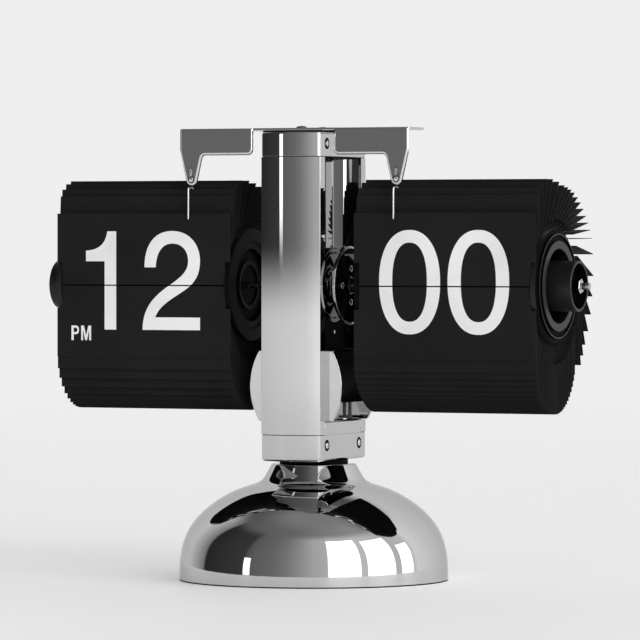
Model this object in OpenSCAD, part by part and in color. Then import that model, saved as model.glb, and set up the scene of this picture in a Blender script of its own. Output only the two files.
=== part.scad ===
// Flip number clock: hour and minute card drums on one axis, carried by a polished column.
// X runs left to right along the drum axis, -Y is the front, +Z is up, millimetres.
// The origin is the centre of the base, on the surface that the clock stands on.

/* [Overall] */
// Height of the drum axis above the table
axis_z = 107.75; // [106:0.25:109]
// Height of the top of the balance beam
beam_top_z = 165; // [164:0.5:168]

/* [Base] */
// Radius of the dome at its rim
dome_r = 49.25; // [47:0.25:54]
// Wall of the dome
dome_wall = 1.4; // [1:0.1:2]

/* [Column] */
// Width of the column, along X
column_w = 23.4; // [22:0.2:24]
// Depth of the column between its corners, along Y
column_d = 41.4; // [40:0.2:44]
// How far the front and back faces bow out
column_bow = 3; // [1:0.5:4]
// Sheet thickness of the front and rear shells
shell_t = 1; // [0.8:0.1:1.4]

/* [Card drums] */
// Radius of the circle that the card pins run on
pin_circle_r = 19.9; // [19.7:0.05:20.1]
// Length of a card from its pins to its free edge
card_l = 26.1; // [24:0.1:27]
// Thickness of a card
card_t = 0.2; // [0.15:0.01:0.22]
// Distance of the cards' inner ends from the middle of the clock
card_in_x = 24.55; // [23.5:0.05:26]
// Distance of the cards' outer ends from the middle of the clock
card_out_x = 95; // [90:0.2:96]
// Cards that hang below the minute drum, behind the lower front card
minute_hanging = 33; // [20:1:36]
// Cards that hang below the hour drum, behind the lower front card
hour_hanging = 21; // [16:1:26]

/* [Hidden] */
$fn = 64;

// Colours
chrome = "gainsboro";
steel = "silver";
brass = "goldenrod";
black = [0.1, 0.1, 0.1];
card_black = [0.16, 0.16, 0.16];
rubber = [0.03, 0.03, 0.03];

// Base and column
dome_z = 0.5;
dome_steps = 24;
dome_arc = 47;
neck_top_r = 14.9;
neck_top_z = 42.6;
block_z = 44;
block_h = 9.5;
shell_z = block_z + block_h;
beam_t = 1;
upper_block_z = beam_top_z - 10.3;
upper_block_h = beam_top_z - beam_t - upper_block_z;
half_w = column_w / 2;
half_d = column_d / 2;
flange_l = 4.2;
flange_y = half_d - flange_l;
spacer_h = 4.7;
screw_y = 14.6;
bow_r = (half_w * half_w + column_bow * column_bow) / (2 * column_bow);
bow_y = half_d + column_bow - bow_r;

// Movement case, coaxial with the drums
case_r = 13.8;
case_wall = 1.2;
case_half_x = 8.6;
hub_r = 7.2;
plate_x = 13.3;
plate_r = 14.3;
plate_t = 1.4;
plate_screws = [[0, 6.1], [0, -6.1], [7.7, 0], [-7.7, 0]];
bush_r = 2.6;
shaft_r = 1.25;
arbor_r = 0.6;
run_gap = 0.05;

// Gear train
drive_m = 0.5;
minute_teeth = 40;
idler_teeth = 28;
motor_teeth = 10;
fast_teeth = 8;
fast_wheel_teeth = 40;
slow_teeth = 10;
slow_wheel_teeth = 48;
reduction_c = 6.5;
fast_m = 2 * reduction_c / (fast_teeth + fast_wheel_teeth);
slow_m = 2 * reduction_c / (slow_teeth + slow_wheel_teeth);
idler_c = drive_m * (minute_teeth + idler_teeth) / 2;
idler_z = axis_z - idler_c;
motor_z = idler_z - drive_m * (idler_teeth + motor_teeth) / 2;
drive_x = 5.5;
drive_w = 1.4;
fast_x = 3;
slow_x = -5;
reduction_w = 1.4;

// Motor pod between its two clamp plates
pod_r = 17;
pod_z = 81;
pod_top_z = 83.7;
pod_half_y = 15.3;
pod_wall = 1.2;
clamp_t = 1.2;
clamp_half_w = 18.3;
clamp_half_h = 12.8;
clamp_z = 71.4;
clamp_edge_r = 24;

// Card drums
disc_r = 20.6;
disc_w = 1.9;
disc_rim_r = 18.87;
disc_rim_x = 96;
disc_step_r = 16.27;
disc_step_x = 96.25;
disc_hole_r = 13.4;
race_half_w = 0.26;
race_depth = 1.2;
pin_r = 0.2;
pin_l = 0.9;
notch_w = disc_w + 0.15;
notch_l = 8.2;
card_back = 0.12;
knob_r = 9.1;
knob_x = 104;
knob_wall = 1;
web_x = 84;
web_t = 2;
knob_floor_x = 99.6;
tube_r = 14.6;
shaft_end_x = 107.9;
nut_t = 2.6;

// Where the card pins sit round the drum, and how far each card leans
top_angle = 179.4;
lower_angle = 181.2;
hang_end = -18;
hang_start = -166;
card_root = 0.08;
// The waiting cards from front to rear, as [pivot, lean]
fan = [[160.5, 86.5], [152.5, 86], [145, 82], [139, 76], [133.5, 66.5], [126.5, 55.5],
    [119.4, 46.5], [112.6, 41.4], [106.3, 37], [100, 32.8], [94, 28], [88, 23.4],
    [81.8, 18.4], [76, 13.4], [70.2, 9.2], [64.4, 5.2], [58.8, 0.6]];
// The cards tipping over at the rear, from the top down
drop = [[53, -9.7], [45.4, -24], [36.4, -37], [26.5, -48], [16.8, -59], [7.8, -68],
    [-1.2, -73.3], [-9.6, -78]];
function hang_pivot(v) = hang_start + (hang_end - hang_start) * (v + 0.08 * sin(360 * v));

// Beam, ears and hair wires
arm_in_x = 16.1;
arm_out_x = 45.5;
arm_y = -19;
arm_bottom_z = beam_top_z - 9.8;
beam_back_y = -3.4;
ear_x = 40.7;
ear_tip_r = 2.3;
ear_tip_z = axis_z + 38.6;
rivet_high_z = axis_z + 42.3;
rivet_low_z = axis_z + 38.6;
wire_r = 0.35;
wire_y = -21.4;
wire_bend_z = axis_z + 35.4;
wire_pivot_y = -17.7;
wire_tip_z = axis_z + 24.1;

// Battery bay in the base
cell_r = 13.1;
cell_l = 50;
cell_z = 17.4;
plate_z = 2.2;
plate_h = 1.6;
floor_r = 46.9;
door_half_x = 27;
door_half_y = 14.4;
door_gap = 0.35;
boss_r = 3;
boss_at = 43;
boss_top_z = 14.5;

// ---------- shared shapes ----------

// A cylinder along X from x0 to x1
module rod_x(r, x0, x1, y = 0, z = axis_z) {
    translate([x0, y, z]) rotate([0, 90, 0]) cylinder(r = r, h = x1 - x0);
}

// A cylinder along Y from y0 to y1
module rod_y(r, y0, y1, x = 0, z = 0) {
    translate([x, y1, z]) rotate([90, 0, 0]) cylinder(r = r, h = y1 - y0);
}

// A box given by its two corners
module span(a, b) {
    translate(a) cube(b - a);
}

// The column's full section, drawn in by inset, from z0 to z1
module column_bar(inset, z0, z1) {
    intersection() {
        span([inset - half_w, -40, z0], [half_w - inset, 40, z1]);
        translate([0, -bow_y, z0]) cylinder(r = bow_r - inset, h = z1 - z0, $fn = 128);
        translate([0, bow_y, z0]) cylinder(r = bow_r - inset, h = z1 - z0, $fn = 128);
    }
}

// Outline of a toothed wheel with slightly slim teeth
function wheel_points(teeth, m) = [
    for (i = [0 : teeth - 1])
    for (c = [[-0.27, -1.2], [-0.1, 0.85], [0.1, 0.85], [0.27, -1.2]])
    let (a = 360 * (i + c[0]) / teeth, r = m * (teeth / 2 + c[1]))
    [r * cos(a), r * sin(a)]
];

// A toothed wheel on an axis along X, a tooth pointing down at turn 0
module wheel(teeth, m, x0, x1, y, z, turn = 0) {
    translate([x0, y, z]) rotate([turn, 0, 0]) rotate([0, 90, 0])
        linear_extrude(x1 - x0) polygon(wheel_points(teeth, m));
}

// ---------- base ----------

function dome_slope(s) = 54 + 35 * cos(180 * pow(s / 49.5, 0.844));
function dome_at(n) = n == 0 ? [dome_r, dome_z] :
    let (p = dome_at(n - 1), ds = dome_arc / dome_steps, a = dome_slope((n - 0.5) * ds))
    [p[0] - ds * cos(a), p[1] + ds * sin(a)];
function dome_inner_at(n) =
    let (p = dome_at(n), a = dome_slope(n * dome_arc / dome_steps))
    [p[0] - dome_wall * sin(a), p[1] - dome_wall * cos(a)];

module base_dome() color(chrome) {
    crown = dome_at(dome_steps);
    inner = dome_inner_at(dome_steps);
    difference() {
        union() {
            rotate_extrude($fn = 128) polygon(concat(
                [for (n = [0 : dome_steps]) dome_at(n)],
                [[crown[0] - 1.3, crown[1] + 0.5], [crown[0] - 2.4, crown[1] + 1.2], [crown[0] - 3.4, crown[1] + 2.2],
                 [crown[0] - 4.2, crown[1] + 3.5], [neck_top_r + 0.6, neck_top_z - 0.5],
                 [neck_top_r, neck_top_z], [5.2, neck_top_z],
                 [5.2, neck_top_z - 2], [12, neck_top_z - 2], [13.4, inner[1] + 1], [inner[0], inner[1]]],
                [for (n = [dome_steps - 1 : -1 : 0]) dome_inner_at(n)]));
            for (a = [30, 150, 270]) rotate(a) translate([boss_at, 0, plate_z + plate_h])
                cylinder(r = boss_r, h = boss_top_z - plate_z - plate_h);
        }
        for (a = [30, 150, 270]) rotate(a) translate([boss_at, 0, plate_z])
            cylinder(r = 1, h = 9);
    }
}

module foot_ring() color(rubber) rotate_extrude($fn = 128)
    polygon([[45.6, 0], [48.9, 0], [48.9, 0.45], [47.2, 0.45], [47.2, plate_z], [45.6, plate_z]]);

module base_plate() color(black) {
    difference() {
        union() {
            translate([0, 0, plate_z]) cylinder(r = floor_r, h = plate_h, $fn = 128);
            span([-30, -16.4, plate_z], [-28, 16.4, 27]);
            span([28, -16.4, plate_z], [30, 16.4, 27]);
        }
        span([-door_half_x - door_gap, -door_half_y - door_gap, 0],
            [door_half_x + door_gap, door_half_y + plate_h / 2 + door_gap, plate_z + plate_h + 1]);
        rod_x(0.6, -door_half_x - 1.4, door_half_x + 1.4, door_half_y, plate_z + plate_h / 2);
        for (a = [30, 150, 270]) rotate(a) translate([boss_at, 0, 0]) cylinder(r = 1.3, h = 9);
    }
}

module base_plate_screws() color(steel)
    for (a = [30, 150, 270]) rotate(a) translate([boss_at, 0, 0]) {
        translate([0, 0, 1.2]) cylinder(r = 2.2, h = 1);
        translate([0, 0, 2]) cylinder(r = 1, h = 7);
    }

// Lid of the battery bay, hinged along its rear edge
module battery_door() color(black) {
    span([-door_half_x, -door_half_y, plate_z], [door_half_x, door_half_y, plate_z + plate_h]);
    rod_x(plate_h / 2, -door_half_x, door_half_x, door_half_y, plate_z + plate_h / 2);
    rod_x(0.5, -door_half_x - 1.2, door_half_x + 1.2, door_half_y, plate_z + plate_h / 2);
    span([-6, -door_half_y, plate_z + plate_h], [6, -door_half_y + 1.2, plate_z + plate_h + 1.6]);
}

module battery_cell() color("dimgray") {
    rod_x(cell_r, -cell_l / 2, cell_l / 2 - 1.5, 0, cell_z);
    rod_x(3, cell_l / 2 - 1.5, cell_l / 2, 0, cell_z);
}

module battery_contact() color(brass)
    span([25.05, -5, 8], [28, 5, 26]);

module battery_spring() color(steel)
    for (r = [4.5, 7]) translate([-28, 0, cell_z]) rotate([0, 90, 0]) difference() {
        cylinder(r = r, h = 2.95);
        translate([0, 0, -1]) cylinder(r = r - 1, h = 5);
    }

module column_stud() color(black) difference() {
    union() {
        translate([0, 0, 35]) cylinder(r = 5, h = block_z + 8 - 35);
        translate([0, 0, neck_top_z]) cylinder(r = 12.5, h = block_z - neck_top_z);
    }
    translate([0, 0, 30]) cylinder(r = 3, h = 30);
}

module stud_washer() color(steel) difference() {
    translate([0, 0, neck_top_z - 3.2]) cylinder(r = 9, h = 1.2);
    translate([0, 0, 30]) cylinder(r = 5.1, h = 30);
}

module stud_nut() color(brass) difference() {
    translate([0, 0, neck_top_z - 6.4]) cylinder(r = 7.5, h = 3.2, $fn = 6);
    translate([0, 0, 30]) cylinder(r = 5, h = 30);
}

// ---------- column ----------

module side_screw_holes(z) {
    for (s = [-1, 1]) for (y = [-screw_y, screw_y]) {
        rod_x(1.1, min(s * 4, s * 14), max(s * 4, s * 14), y, z);
        rod_x(2.1, min(s * (half_w - 1.2), s * 14), max(s * (half_w - 1.2), s * 14), y, z);
    }
}

module lower_block() color(chrome) difference() {
    column_bar(0, block_z, shell_z);
    side_screw_holes(block_z + 5.8);
    translate([0, 0, block_z - 1]) cylinder(r = 5, h = 9);
    translate([0, 0, block_z - 1]) cylinder(r = 3, h = 20);
}

module upper_block() color(chrome) difference() {
    column_bar(0, upper_block_z, upper_block_z + upper_block_h);
    side_screw_holes(upper_block_z + 4.6);
    for (y = [-11, 8]) translate([0, y, upper_block_z + 2]) cylinder(r = 1.1, h = 20);
}

module shell() color(chrome) intersection() {
    difference() {
        column_bar(0, shell_z, upper_block_z);
        column_bar(shell_t, shell_z - 1, upper_block_z + 1);
    }
    span([-20, -40, shell_z - 1], [20, -flange_y, upper_block_z + 1]);
}

module front_shell() shell();

module rear_shell() mirror([0, 1, 0]) shell();

module lower_spacer() color(chrome) difference() {
    union() {
        column_bar(shell_t, shell_z, shell_z + spacer_h);
        span([-half_w, -flange_y, shell_z], [half_w, flange_y, shell_z + spacer_h]);
    }
    translate([0, 0, shell_z - 1]) cylinder(r = 3, h = 20);
}

module block_screws() color(steel)
    for (s = [0, 180]) rotate(s) for (z = [block_z + 5.8, upper_block_z + 4.6])
        for (y = [-screw_y, screw_y]) {
            rod_x(1.1, 4.5, half_w - 1, y, z);
            rod_x(2, half_w - 1.2, half_w - 0.2, y, z);
        }

// ---------- balance beam and hair wires ----------

module arm_sheet() {
    tip_in = ear_x - ear_tip_r;
    tip_out = ear_x + ear_tip_r;
    difference() {
        union() {
            polygon([[arm_in_x + 2, arm_bottom_z], [36.4, arm_bottom_z], [tip_in + 0.05, ear_tip_z],
                [tip_out - 0.05, ear_tip_z], [arm_out_x, beam_top_z - 8.5],
                [arm_out_x, beam_top_z], [arm_in_x, beam_top_z], [arm_in_x, arm_bottom_z + 2]]);
            translate([arm_in_x + 2, arm_bottom_z + 2]) circle(r = 2);
            translate([ear_x, ear_tip_z]) circle(r = ear_tip_r);
        }
        for (z = [rivet_high_z, rivet_low_z]) translate([ear_x, z]) circle(r = 0.6);
    }
}

module balance_beam() color(chrome) {
    for (s = [0, 1]) mirror([s, 0, 0]) translate([0, arm_y + beam_t, 0]) rotate([90, 0, 0])
        linear_extrude(beam_t) arm_sheet();
    difference() {
        union() {
            span([-arm_out_x, arm_y, beam_top_z - beam_t], [arm_out_x, beam_back_y, beam_top_z]);
            span([-half_w, arm_y, beam_top_z - beam_t], [half_w, 13, beam_top_z]);
        }
        for (y = [-11, 8]) translate([0, y, beam_top_z - 5]) cylinder(r = 1.3, h = 20);
    }
}

module beam_screws() color(steel) for (y = [-11, 8]) translate([0, y, 0]) {
    translate([0, 0, upper_block_z + 3]) cylinder(r = 1.1, h = beam_top_z - upper_block_z - 3);
    translate([0, 0, beam_top_z]) cylinder(r = 2, h = 0.9);
}

module hair_wire(s) color(steel) {
    translate([s * ear_x, wire_y, wire_tip_z]) cylinder(r = wire_r, h = wire_bend_z + wire_r - wire_tip_z);
    rod_y(wire_r, wire_y, wire_pivot_y, s * ear_x, wire_bend_z);
    rod_x(0.45, s * ear_x - 0.5, s * ear_x + 0.5, wire_pivot_y, wire_bend_z);
}

module hour_hair_wire() hair_wire(-1);

module minute_hair_wire() hair_wire(1);

// Two rivets through each ear hold the clip that the wire hangs from
module hair_wire_rivets() color(steel) for (s = [-1, 1]) {
    for (z = [rivet_high_z, rivet_low_z]) {
        rod_y(0.6, arm_y, arm_y + beam_t, s * ear_x, z);
        rod_y(1, arm_y - 0.45, arm_y, s * ear_x, z);
        rod_y(1, arm_y + beam_t, arm_y + beam_t + 0.45, s * ear_x, z);
    }
    span([s * ear_x - 0.8, arm_y + beam_t, wire_bend_z + 0.45], [s * ear_x + 0.8, arm_y + beam_t + 0.4, rivet_high_z]);
}

// ---------- movement ----------

module case_half(x0, x1) color(black) difference() {
    rod_x(case_r, x0, x1);
    rod_x(case_r - case_wall, case_wall - case_half_x, case_half_x - case_wall);
    rod_x(shaft_r + 0.5, -20, 20);
    span([drive_x - 0.4, -9, axis_z - 20], [drive_x + drive_w + 0.4, 9, axis_z - 8]);
}

module case_left() case_half(-case_half_x, 0);

module case_right() case_half(0, case_half_x);

module end_plate() color(black) difference() {
    union() {
        rod_x(plate_r, plate_x, plate_x + plate_t);
        rod_x(bush_r + 0.8, plate_x + plate_t - 0.5, plate_x + plate_t + 1.4);
    }
    rod_x(shaft_r + run_gap, 0, 30);
    for (c = plate_screws) rod_x(0.8, 0, 30, c[0], axis_z + c[1]);
}

// Bright dished hubs that carry the end plates
module bearing_hubs() color(chrome) for (s = [0, 1]) mirror([s, 0, 0]) difference() {
    union() {
        rod_x(hub_r, case_half_x, plate_x);
        rod_x(plate_r - 1.5, plate_x - 1.2, plate_x);
    }
    rod_x(shaft_r + run_gap, 0, 30);
}

module end_plates() {
    end_plate();
    mirror([1, 0, 0]) end_plate();
}

module end_plate_screws() color(steel)
    for (s = [0, 1]) mirror([s, 0, 0]) for (c = plate_screws) {
        rod_x(0.75, plate_x, plate_x + plate_t, c[0], axis_z + c[1]);
        rod_x(1.2, plate_x + plate_t, plate_x + plate_t + 0.5, c[0], axis_z + c[1]);
    }

// Narrow duct between the case and the pod, round the idler wheel
module gear_neck() color(black) difference() {
    span([drive_x - 1.4, -9, pod_top_z], [drive_x + drive_w + 1.4, 9, axis_z - 10.8]);
    span([drive_x - 0.6, -8, pod_top_z - 1], [drive_x + drive_w + 0.6, 8, axis_z]);
    rod_x(arbor_r, 0, 20, 0, idler_z);
    rod_x(case_r + 0.01, 0, 20);
}

module idler_pin() color(steel)
    rod_x(arbor_r, drive_x - 1.4, drive_x + drive_w + 1.4, 0, idler_z);

module motor_pod() color(black) difference() {
    intersection() {
        rod_y(pod_r, -pod_half_y, pod_half_y, 0, pod_z);
        span([-30, -30, 60], [30, 30, pod_top_z]);
    }
    intersection() {
        rod_y(pod_r - pod_wall, -pod_half_y + pod_wall, pod_half_y - pod_wall, 0, pod_z);
        span([-30, -30, 60], [30, 30, pod_top_z - pod_wall]);
    }
    span([drive_x - 0.6, -5, pod_z], [drive_x + drive_w + 0.6, 5, pod_top_z + 1]);
    cylinder(r = 2.5, h = pod_z - 10);
}

module clamp_plate() color(chrome) intersection() {
    span([-clamp_half_w, -pod_half_y - clamp_t, clamp_z - clamp_half_h],
        [clamp_half_w, -pod_half_y, clamp_z + clamp_half_h]);
    for_plate_edges();
}

// The clamp plate's two bowed side edges
module for_plate_edges() intersection() {
    rod_y(clamp_edge_r, -30, 0, clamp_half_w - clamp_edge_r, clamp_z);
    rod_y(clamp_edge_r, -30, 0, clamp_edge_r - clamp_half_w, clamp_z);
}

module pod_plates() {
    clamp_plate();
    mirror([0, 1, 0]) clamp_plate();
}

module pod_screws() color(steel) for (s = [0, 1]) mirror([0, s, 0]) for (x = [-8, 8])
    rod_y(1.4, -pod_half_y - clamp_t - 0.3, -pod_half_y - clamp_t, x, clamp_z);

// Two leads from the battery bay up the stud to the motor
module power_leads() color(steel) for (s = [-1, 1]) {
    translate([s * 1.1, 0, 31]) cylinder(r = 0.7, h = 40);
    span([min(s * 0.4, s * 26.6), s * 0.9 - 0.5, 30.7], [max(s * 0.4, s * 26.6), s * 0.9 + 0.5, 31.6]);
    span([min(s * 25.6, s * 26.6), s * 0.9 - 0.5, 26], [max(s * 25.6, s * 26.6), s * 0.9 + 0.5, 31.6]);
}

module motor_pinion() color(brass) {
    wheel(motor_teeth, drive_m, drive_x, drive_x + drive_w, 0, motor_z, 90);
    rod_x(arbor_r + 0.3, 0, drive_x + 0.2, 0, motor_z);
}

module idler_gear() color(brass) difference() {
    wheel(idler_teeth, drive_m, drive_x, drive_x + drive_w, 0, idler_z, 90);
    rod_x(arbor_r + run_gap, 0, 20, 0, idler_z);
}

module reduction_gear() color(brass) {
    wheel(fast_wheel_teeth, fast_m, fast_x, fast_x + reduction_w, reduction_c, axis_z, 0);
    wheel(slow_teeth, slow_m, slow_x - 0.3, slow_x + reduction_w + 0.3, reduction_c, axis_z, 0);
    rod_x(arbor_r, slow_x - 2, fast_x + 0.1, reduction_c, axis_z);
}

// ---------- drums ----------

module minute_shaft() color(steel) {
    rod_x(shaft_r, drive_x, shaft_end_x);
    rod_x(arbor_r, fast_x - 1, drive_x + 0.1);
    wheel(minute_teeth, drive_m, drive_x, drive_x + drive_w, 0, axis_z, 90 + 180 / minute_teeth);
    wheel(fast_teeth, fast_m, fast_x - 0.3, fast_x + reduction_w + 0.3, 0, axis_z, 22.5);
}

module hour_shaft() color(steel) {
    rod_x(shaft_r, -shaft_end_x, slow_x - 2);
    rod_x(arbor_r, slow_x - 2.1, slow_x + reduction_w);
    wheel(slow_wheel_teeth, slow_m, slow_x, slow_x + reduction_w, 0, axis_z, 0);
}

// End disc with the groove that the card pins run in, open side towards the drum
module disc(x0, x1, open_low) color(black) difference() {
    union() {
        rod_x(disc_r, x0, x1);
        if (open_low) {
            rod_x(disc_rim_r, x0, disc_rim_x);
            rod_x(disc_step_r, x0, disc_step_x);
        }
    }
    rod_x(disc_hole_r, x0 - 1, x1 + 2);
    difference() {
        rod_x(pin_circle_r + race_half_w, open_low ? x0 - 1 : x1 - race_depth,
            open_low ? x0 + race_depth : x1 + 1);
        rod_x(pin_circle_r - race_half_w, x0 - 2, x1 + 2);
    }
}

module drum_tube() color(black) {
    difference() {
        rod_x(tube_r, card_in_x + disc_w, card_out_x - disc_w);
        rod_x(disc_hole_r, card_in_x, card_out_x);
    }
    difference() {
        rod_x(disc_hole_r + 0.2, web_x - web_t, web_x);
        rod_x(shaft_r, 0, 200);
    }
    difference() {
        rod_x(disc_hole_r + 0.2, card_in_x + disc_w, card_in_x + disc_w + web_t);
        rod_x(shaft_r, 0, 200);
    }
}

module knob() color(black) {
    difference() {
        rod_x(knob_r, web_x, knob_x);
        rod_x(knob_r - knob_wall, web_x - 1, knob_floor_x - 1.6);
        rod_x(knob_r - knob_wall, knob_floor_x, knob_x + 1);
        rod_x(shaft_r, 0, 200);
    }
}

module nut() color(chrome) difference() {
    translate([knob_x - nut_t + 0.8, 0, axis_z]) rotate([0, 90, 0]) cylinder(r = 2.8, h = nut_t, $fn = 6);
    rod_x(shaft_r, 0, 200);
}

module nut_sleeve() color(chrome) difference() {
    rod_x(2.2, knob_floor_x, knob_x - nut_t + 0.9);
    rod_x(shaft_r, 0, 200);
}

module minute_disc_inner() disc(card_in_x, card_in_x + disc_w, false);

module minute_disc_outer() disc(card_out_x - disc_w, card_out_x, true);

module minute_drum_tube() drum_tube();

module minute_knob() knob();

module minute_nut() {
    nut();
    nut_sleeve();
}

module hour_disc_inner() mirror([1, 0, 0]) minute_disc_inner();

module hour_disc_outer() mirror([1, 0, 0]) minute_disc_outer();

module hour_drum_tube() mirror([1, 0, 0]) drum_tube();

module hour_knob() mirror([1, 0, 0]) knob();

module hour_nut() mirror([1, 0, 0]) minute_nut();

// ---------- cards ----------

// The card's two pins, and the lugs that join them to it
module card_pins(y0, y1) {
    span([card_in_x + notch_w - 0.1, y0, -card_root], [card_out_x - notch_w + 0.1, y1, card_root]);
    rod_x(pin_r, card_in_x + notch_w - pin_l, card_in_x + notch_w - 0.01, 0, 0);
    rod_x(pin_r, card_out_x - notch_w + 0.01, card_out_x - notch_w + pin_l, 0, 0);
}

// One card with its two pins: pivot angle round the drum and the card's own lean
module card(pivot, lean) color(card_black)
    translate([0, pin_circle_r * cos(pivot), axis_z + pin_circle_r * sin(pivot)])
    rotate([lean - 90, 0, 0]) {
        y0 = card_back - card_t / 2;
        y1 = card_back + card_t / 2;
        span([card_in_x, y0, notch_l], [card_out_x, y1, card_l]);
        span([card_in_x + notch_w, y0, -card_root], [card_out_x - notch_w, y1, notch_l + 0.01]);
        card_pins(y0, y1);
    }

// The lower front card hangs face out, so it is a card turned over
module lower_card() color(card_black)
    translate([0, pin_circle_r * cos(lower_angle), axis_z + pin_circle_r * sin(lower_angle)]) {
        y0 = card_back - card_t / 2;
        y1 = card_back + card_t / 2;
        span([card_in_x, y0, -card_l], [card_out_x, y1, -notch_l]);
        span([card_in_x + notch_w, y0, -notch_l - 0.01], [card_out_x - notch_w, y1, card_root]);
        card_pins(y0, y1);
    }

module waiting() for (c = fan) card(c[0], c[1]);

module returning() for (c = drop) card(c[0], c[1]);

module hanging(n) for (i = [0 : n - 1]) card(hang_pivot(i / (n - 1)), -90);

module minute_card_top() card(top_angle, 90);

module minute_card_lower() lower_card();

module minute_cards_waiting() waiting();

module minute_cards_returning() returning();

module minute_cards_hanging() hanging(minute_hanging);

module hour_card_top() mirror([1, 0, 0]) minute_card_top();

module hour_card_lower() mirror([1, 0, 0]) lower_card();

module hour_cards_waiting() mirror([1, 0, 0]) waiting();

module hour_cards_returning() mirror([1, 0, 0]) returning();

module hour_cards_hanging() mirror([1, 0, 0]) hanging(hour_hanging);

// ---------- selection ----------

base_dome();
foot_ring();
base_plate();
base_plate_screws();
battery_door();
battery_cell();
battery_contact();
battery_spring();
column_stud();
stud_washer();
stud_nut();
lower_block();
upper_block();
front_shell();
rear_shell();
lower_spacer();
block_screws();
balance_beam();
beam_screws();
hour_hair_wire();
minute_hair_wire();
hair_wire_rivets();
case_left();
case_right();
bearing_hubs();
end_plates();
end_plate_screws();
gear_neck();
motor_pod();
pod_plates();
pod_screws();
power_leads();
motor_pinion();
idler_gear();
idler_pin();
reduction_gear();
minute_shaft();
minute_disc_inner();
minute_disc_outer();
minute_drum_tube();
minute_knob();
minute_nut();
minute_card_top();
minute_card_lower();
minute_cards_waiting();
minute_cards_returning();
minute_cards_hanging();
hour_shaft();
hour_disc_inner();
hour_disc_outer();
hour_drum_tube();
hour_knob();
hour_nut();
hour_card_top();
hour_card_lower();
hour_cards_waiting();
hour_cards_returning();
hour_cards_hanging();
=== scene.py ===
"""Flip number clock: the visible model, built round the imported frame."""
import math

import bmesh
import bpy
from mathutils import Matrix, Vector
from mathutils.geometry import tessellate_polygon


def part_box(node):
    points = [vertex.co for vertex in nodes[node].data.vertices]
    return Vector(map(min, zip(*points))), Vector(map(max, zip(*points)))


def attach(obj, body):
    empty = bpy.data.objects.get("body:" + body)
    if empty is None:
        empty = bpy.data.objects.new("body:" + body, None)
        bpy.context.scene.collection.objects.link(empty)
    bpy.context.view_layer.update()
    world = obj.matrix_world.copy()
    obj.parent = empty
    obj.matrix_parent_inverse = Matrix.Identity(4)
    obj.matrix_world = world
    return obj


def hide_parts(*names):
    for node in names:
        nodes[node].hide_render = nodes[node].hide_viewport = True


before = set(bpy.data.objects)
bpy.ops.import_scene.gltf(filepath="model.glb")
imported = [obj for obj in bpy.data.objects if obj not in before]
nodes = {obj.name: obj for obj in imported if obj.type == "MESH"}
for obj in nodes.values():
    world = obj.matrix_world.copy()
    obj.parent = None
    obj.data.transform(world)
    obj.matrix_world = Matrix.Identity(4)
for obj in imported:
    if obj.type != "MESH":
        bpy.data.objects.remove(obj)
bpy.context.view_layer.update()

MM = 0.001
scene = bpy.context.scene


# ---------------------------------------------------------------- places, in millimetres
def span_of(node):
    lo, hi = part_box(node)
    return [c / MM for c in lo], [c / MM for c in hi]


KNOB_LO, KNOB_HI = span_of("minute_knob")
NUT_LO, NUT_HI = span_of("minute_nut")
AXIS_Z = (KNOB_LO[2] + KNOB_HI[2]) / 2
AXIS_AT = (0, 0, AXIS_Z)
BEAM_LO, BEAM_HI = span_of("balance_beam")
LOWER_LO, LOWER_HI = span_of("lower_block")
UPPER_LO, UPPER_HI = span_of("upper_block")
CARD_LO, CARD_HI = span_of("minute_card_top")
CARD_LOW_HI = span_of("minute_card_lower")[1]
DISC_HI = span_of("minute_disc_outer")[1]
DOME_LO, DOME_HI = span_of("base_dome")
SHELL_HI = span_of("front_shell")[1]
SPACER_LO, SPACER_HI = span_of("lower_spacer")
POD_LO, POD_HI = span_of("motor_pod")
CLAMP_LO, CLAMP_HI = span_of("pod_plates")
PLATE_HI = span_of("end_plates")[1]
HUB_HI = span_of("bearing_hubs")[1]
CASE_HI = span_of("case_right")[1]
WIRE_LO, WIRE_HI = span_of("minute_hair_wire")


# ---------------------------------------------------------------- node helpers
def new_material(name):
    mat = bpy.data.materials.new(name)
    mat.use_nodes = True
    tree = mat.node_tree
    tree.nodes.clear()
    out = tree.nodes.new("ShaderNodeOutputMaterial")
    bsdf = tree.nodes.new("ShaderNodeBsdfPrincipled")
    tree.links.new(bsdf.outputs["BSDF"], out.inputs["Surface"])
    return mat, tree, bsdf


def shader_of(mat):
    return next(n for n in mat.node_tree.nodes if n.type == "BSDF_PRINCIPLED")


def noise(tree, scale, detail=4.0, rough=0.55):
    coord = tree.nodes.new("ShaderNodeTexCoord")
    tex = tree.nodes.new("ShaderNodeTexNoise")
    tex.inputs["Scale"].default_value = scale
    tex.inputs["Detail"].default_value = detail
    tex.inputs["Roughness"].default_value = rough
    tree.links.new(coord.outputs["Object"], tex.inputs["Vector"])
    return tex.outputs["Fac"]


def ramp(tree, fac, stops):
    """Colours by the value of fac; stops are (position, colour) from low to high."""
    node = tree.nodes.new("ShaderNodeValToRGB")
    first, last = node.color_ramp.elements
    first.position = stops[0][0]
    first.color = (*stops[0][1], 1)
    last.position = stops[-1][0]
    last.color = (*stops[-1][1], 1)
    for position, colour in stops[1:-1]:
        node.color_ramp.elements.new(position).color = (*colour, 1)
    tree.links.new(fac, node.inputs["Fac"])
    return node.outputs["Color"]


def spread(tree, fac, lo, hi, src=(0.3, 0.7)):
    """Stretches the src range of fac to run from lo to hi."""
    node = tree.nodes.new("ShaderNodeMapRange")
    node.inputs["From Min"].default_value = src[0]
    node.inputs["From Max"].default_value = src[1]
    node.inputs["To Min"].default_value = lo
    node.inputs["To Max"].default_value = hi
    tree.links.new(fac, node.inputs["Value"])
    return node.outputs["Result"]


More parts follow.
